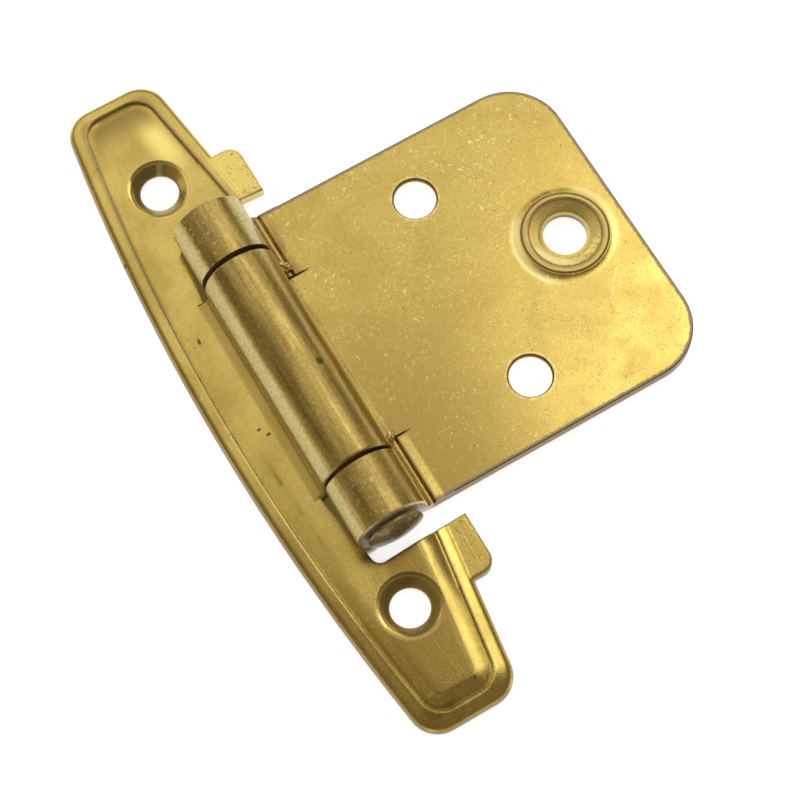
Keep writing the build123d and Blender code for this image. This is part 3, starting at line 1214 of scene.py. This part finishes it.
        # Painted highlight on the upper of the two tabs
        upper = x.rise(*self.tab_bright) * y.rise(*self.tab_side) * inset.fall(*self.tab_edge)
        skin.lay(upper, self.highlight_gold, rough=0.22, share=0.75)
        tabs = x.rise(*self.tab_stained) * spot.side.rise(*self.tab_side)
        skin.lay(tabs * spot.stain, self.brown, rough=0.5, share=0.85)


@dataclass(frozen=True)
class PinFinish(Finish):
    """Finish of the pin: a dull olive head, and a shank that is lighter and redder at the knuckles'
    gaps.
    """

    name: str = "dull brass pin"
    brass: Colour = (0.420, 0.350, 0.170)
    deep: Colour = (0.300, 0.235, 0.095)
    worn: Colour = (0.680, 0.380, 0.170)
    rough: float = 0.40
    depth: float = 0.000012
    head_end: Span = (-17.7, -17.5)
    gap: Band = (11.36, 0.4, 0.1)

    def draw(self, spot: Surface) -> Skin:
        """Draws the pin's plating and marks.

        Args:
            spot: the point of the surface.
        Returns:
            The whole finish.
        """
        y = spot.at[1]
        skin = self.plate(spot, brushed=0.5, rolled=y.rise(*self.head_end) * 0.5)
        skin.lay(spot.stain * y.fall(*self.head_end), self.brown, rough=0.6, share=0.5)
        # Lighter, redder tone on the shank at the knuckles' gaps
        skin.lay(spot.side.near(*self.gap), self.worn, rough=0.4, share=0.8)
        return skin


@dataclass(frozen=True)
class CrumbFinish(Finish):
    """Finish of the torn crumbs: bright bare brass, made paler as painted light that lifts them out of
    the barrel's shade.
    """

    name: str = "torn brass crumbs"
    brass: Colour = (0.860, 0.660, 0.230)
    deep: Colour = (0.600, 0.400, 0.100)
    rough: float = 0.26
    depth: float = 0.000012

    def draw(self, spot: Surface) -> Skin:
        """Draws plain plating."""
        return self.plate(spot, brushed=0.3)


@dataclass
class Burr:
    """Crumb of torn sheet beside a slit.

    The surface is a sphere over two angles, stretched to three sizes; sines of the angles push it
    in and out, so it looks crumpled, and it is closed at both poles. A wave has a height, a count
    round the axis, a count from pole to pole and a share of the crumb's turn.
    """

    name: str
    centre: Triple
    size: Triple
    turn: float
    rows: int = 40
    columns: int = 64
    waves: Tuple[Tuple[float, float, float, float], ...] = (
        (0.22, 3.0, 2.0, 1.0), (0.15, 2.0, 5.0, -1.0), (0.08, 7.0, -4.0, 0.0))

    def points(self) -> np.ndarray:
        """Works out the surface: first the top pole, then the rows, then the lower pole.

        Returns:
            The points in metres, one in each row.
        """
        polar = np.linspace(0.0, math.pi, self.rows)[1:-1, None]
        around = np.linspace(0.0, 2.0 * math.pi, self.columns, endpoint=False)[None, :]
        swell = 1.0 + np.sin(polar) * sum(
            height * np.sin(turns * around + folds * polar + share * self.turn)
            for height, turns, folds, share in self.waves)
        ball = np.stack([swell * np.sin(polar) * np.cos(around), swell * np.sin(polar) * np.sin(around),
                         swell * np.cos(polar)], axis=-1).reshape(-1, 3)
        shape = np.concatenate([[[0.0, 0.0, 1.0]], ball, [[0.0, 0.0, -1.0]]]) * np.array(self.size)
        cos, sin = math.cos(self.turn), math.sin(self.turn)
        spin = np.array([[cos, -sin, 0.0], [sin, cos, 0.0], [0.0, 0.0, 1.0]])
        return (shape @ spin.T + np.array(self.centre)) / MM

    def faces(self) -> List[List[int]]:
        """Joins each row to the next, and the first and last rows to their poles.

        Returns:
            The faces' corner numbers.
        """
        inner = self.rows - 2
        grid = 1 + np.arange(inner * self.columns).reshape(inner, self.columns)
        beside = np.roll(grid, -1, axis=1)
        quads = np.stack([grid[:-1], grid[1:], beside[1:], beside[:-1]], axis=-1).reshape(-1, 4)
        first, last = np.zeros(self.columns, int), np.full(self.columns, inner * self.columns + 1)
        top = np.stack([first, grid[0], beside[0]], axis=-1)
        low = np.stack([last, beside[-1], grid[-1]], axis=-1)
        return quads.tolist() + top.tolist() + low.tolist()

    def build(self) -> bpy.types.Object:
        """Makes the crumb.

        Returns:
            The new object, with its place in its mesh.
        """
        mesh = bpy.data.meshes.new(self.name)
        mesh.from_pydata(self.points().tolist(), [], self.faces())
        mesh.polygons.foreach_set("use_smooth", np.ones(len(mesh.polygons), dtype=bool))
        made = bpy.data.objects.new(self.name, mesh)
        bpy.context.scene.collection.objects.link(made)
        return made


def dress(node: str, material: bpy.types.Material) -> None:
    """Gives a CAD node its only material.

    Args:
        node: the node's name.
        material: the material.
    """
    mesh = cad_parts[node].data
    mesh.materials.clear()
    mesh.materials.append(material)
    LOG.info("%s: %s", node, material.name)


@dataclass
class FrameSide:
    """Leaf that is screwed to the cabinet's face frame, with the middle knuckle."""

    node: str = "face_leaf"
    finish: FrameFinish = field(default_factory=FrameFinish)

    def build(self) -> None:
        """Dresses the leaf."""
        dress(self.node, self.finish.build())


@dataclass
class DoorSide:
    """Leaf that is screwed to the door, with the end knuckles, the pin and small burrs."""

    node: str = "door_leaf"
    pin_node: str = "hinge_pin"
    body: str = "door"
    finish: DoorFinish = field(default_factory=DoorFinish)
    pin_finish: PinFinish = field(default_factory=PinFinish)
    crumb_finish: CrumbFinish = field(default_factory=CrumbFinish)
    burrs: Tuple[Burr, ...] = (
        Burr("upper_burr", centre=(6.45, 10.45, 1.62), size=(0.40, 0.62, 0.34), turn=0.5),
        Burr("lower_burr", centre=(6.36, -9.28, 1.60), size=(0.40, 0.62, 0.30), turn=2.1),
    )

    def build(self) -> None:
        """Dresses the leaf and the pin, and adds the burrs."""
        dress(self.node, self.finish.build())
        dress(self.pin_node, self.pin_finish.build())
        crumbs = self.crumb_finish.build()
        for burr in self.burrs:
            piece = burr.build()
            piece.data.materials.append(crumbs)
            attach(piece, self.body)
            LOG.info("%s: %d faces", burr.name, len(piece.data.polygons))


@dataclass(frozen=True)
class Viewpoint:
    """Camera that sees the hinge from the photograph's side, in metres."""

    place: Triple = (-0.02214, -0.06968, 0.18472)
    right: Triple = (0.8644, -0.5022, -0.0262)
    up: Triple = (0.4772, 0.8028, 0.3575)
    focal_pixels: float = 2150.56
    image_pixels: float = 800.0
    sensor: float = 36.0
    clip: Span = (0.005, 20.0)

    def build(self) -> None:
        """Makes the camera and hands it to the scene."""
        data = bpy.data.cameras.new("viewpoint")
        data.sensor_width = self.sensor
        data.lens = self.focal_pixels / self.image_pixels * self.sensor
        data.clip_start, data.clip_end = self.clip
        camera = bpy.data.objects.new("viewpoint", data)
        across = Vector(self.right).normalized()
        back = across.cross(Vector(self.up)).normalized()
        above = back.cross(across)
        turn = Matrix((across, above, back)).transposed().to_4x4()
        camera.matrix_world = Matrix.Translation(Vector(self.place)) @ turn
        bpy.context.scene.collection.objects.link(camera)
        bpy.context.scene.camera = camera


@dataclass(frozen=True)
class Room:
    """Light from all round, by direction: white low down, a wide soft box and a slanted bright patch."""

    warm: Colour = (1.0, 0.87, 0.66)
    base: float = 0.24
    overhead: float = 0.78
    patch: float = 2.3
    horizon: Span = (0.03, 0.17)
    whitened: Span = (0.2, 0.9)
    box_left: Span = (-0.78, -0.12)
    box_right: Span = (0.55, 0.9)
    box_near: Span = (0.14, 0.42)
    box_low: Span = (0.25, 0.6)
    patch_slant: float = 0.385
    patch_left: Span = (0.075, 0.165)
    patch_right: Span = (0.42, 0.75)
    patch_near: Span = (0.05, 0.22)
    patch_far: Span = (0.26, 0.415)
    patch_low: Span = (0.5, 0.75)

    def build(self) -> None:
        """Draws the light level by direction in the world."""
        world = bpy.data.worlds.new("room")
        bpy.context.scene.world = world
        world.use_nodes = True
        g = Graph(world.node_tree)
        sky = world.node_tree.nodes["Background"]
        x, y, z = g.parts(g.node("ShaderNodeTexCoord").outputs["Generated"])
        wide = x.rise(*self.box_left) * x.fall(*self.box_right)
        box = wide * y.rise(*self.box_near) * z.rise(*self.box_low)
        edge = (x - y * self.patch_slant).rise(*self.patch_left) * x.fall(*self.patch_right)
        depth = y.rise(*self.patch_near) * y.eased(*self.patch_far, 1.0, 0.02)
        bright = edge * depth * z.rise(*self.patch_low)
        level = box * self.overhead + bright * self.patch + self.base
        level = level.most(z.fall(*self.horizon))
        seen = g.node("ShaderNodeLightPath").outputs["Is Camera Ray"]
        g.put(sky.inputs["Color"], g.mix(level.rise(*self.whitened).most(seen), self.warm, WHITE))
        g.put(sky.inputs["Strength"], level.most(seen))


@dataclass(frozen=True)
class Floor:
    """Plain pale floor that keeps its shadow, with painted shade in narrow gaps and beside the barrel;
    clear from below.
    """

    reach: float = 3.0
    drop: float = 0.0002
    shade: float = 0.80
    rough: float = 0.9
    glow: float = 0.84
    gap_reach: float = 0.004
    # Colour of the painted shade in narrow gaps
    gap: Colour = (0.050, 0.035, 0.015)
    gap_open: Span = (0.05, 0.16)
    # Colour of the warm painted shade beside the barrel
    barrel_shade: Colour = (0.130, 0.095, 0.030)
    barrel_shade_across: Band = (-1.5, 1.5, 0.6)
    barrel_shade_along: Span = (17.0, 17.5)

    def build(self) -> None:
        """Makes the floor and hands it to the stage."""
        r, z = self.reach, -self.drop
        mesh = bpy.data.meshes.new("floor")
        mesh.from_pydata([(-r, -r, z), (r, -r, z), (r, r, z), (-r, r, z)], [], [(0, 1, 2, 3)])
        made = bpy.data.objects.new("floor", mesh)
        bpy.context.scene.collection.objects.link(made)
        mesh.materials.append(self.finish())

    def finish(self) -> bpy.types.Material:
        """Draws the floor, with painted shade in narrow gaps and a warm painted shade in the gap beside
        the barrel.

        Returns:
            The floor's material.
        """
        material = bpy.data.materials.new("pale floor")
        material.use_nodes = True
        g = Graph(material.node_tree)
        shader = material.node_tree.nodes["Principled BSDF"]
        shader.inputs["Roughness"].default_value = self.rough
        shader.inputs["Specular IOR Level"].default_value = 0.0
        shut = g.node("ShaderNodeAmbientOcclusion", samples=8)
        shut.inputs["Distance"].default_value = self.gap_reach
        x, y, _ = Surface(g, ease=0.0).at
        # Painted shade: dark where the occlusion finds a narrow gap, and a warm dark glow beside the
        # barrel
        beside = x.near(*self.barrel_shade_across) * abs(y).fall(*self.barrel_shade_along)
        clear = Amount(g, shut.outputs["AO"]).rise(*self.gap_open).without(beside)
        g.put(shader.inputs["Base Color"], g.mix(clear, self.gap, (self.shade,) * 3))
        g.put(shader.inputs["Emission Color"], g.mix(beside, WHITE, self.barrel_shade))
        path = g.node("ShaderNodeLightPath")
        seen = Amount(g, path.outputs["Is Glossy Ray"]).most(path.outputs["Is Transmission Ray"])
        seen = seen.most(path.outputs["Is Camera Ray"])
        g.put(shader.inputs["Emission Strength"], seen * clear.most(beside) * self.glow)
        either = g.node("ShaderNodeMixShader")
        g.put(either.inputs[0], g.node("ShaderNodeNewGeometry").outputs["Backfacing"])
        g.put(either.inputs[1], shader.outputs[0])
        g.put(either.inputs[2], g.node("ShaderNodeBsdfTransparent").outputs[0])
        g.put(material.node_tree.nodes["Material Output"].inputs["Surface"], either.outputs[0])
        return material


@dataclass(frozen=True)
class Studio:
    """Room light, floor and camera."""

    room: Room = Room()
    floor: Floor = Floor()
    viewpoint: Viewpoint = Viewpoint()

    def build(self) -> None:
        """Sets up the view and everything round the hinge."""
        bpy.context.scene.view_settings.view_transform = "Standard"
        self.room.build()
        self.floor.build()
        self.viewpoint.build()
        LOG.info("studio ready")


def main() -> None:
    """Builds the studio and both sides of the hinge."""
    logging.basicConfig(level=logging.INFO, format="%(name)s: %(message)s")
    Studio().build()
    FrameSide().build()
    DoorSide().build()


if __name__ == "__main__":
    main()
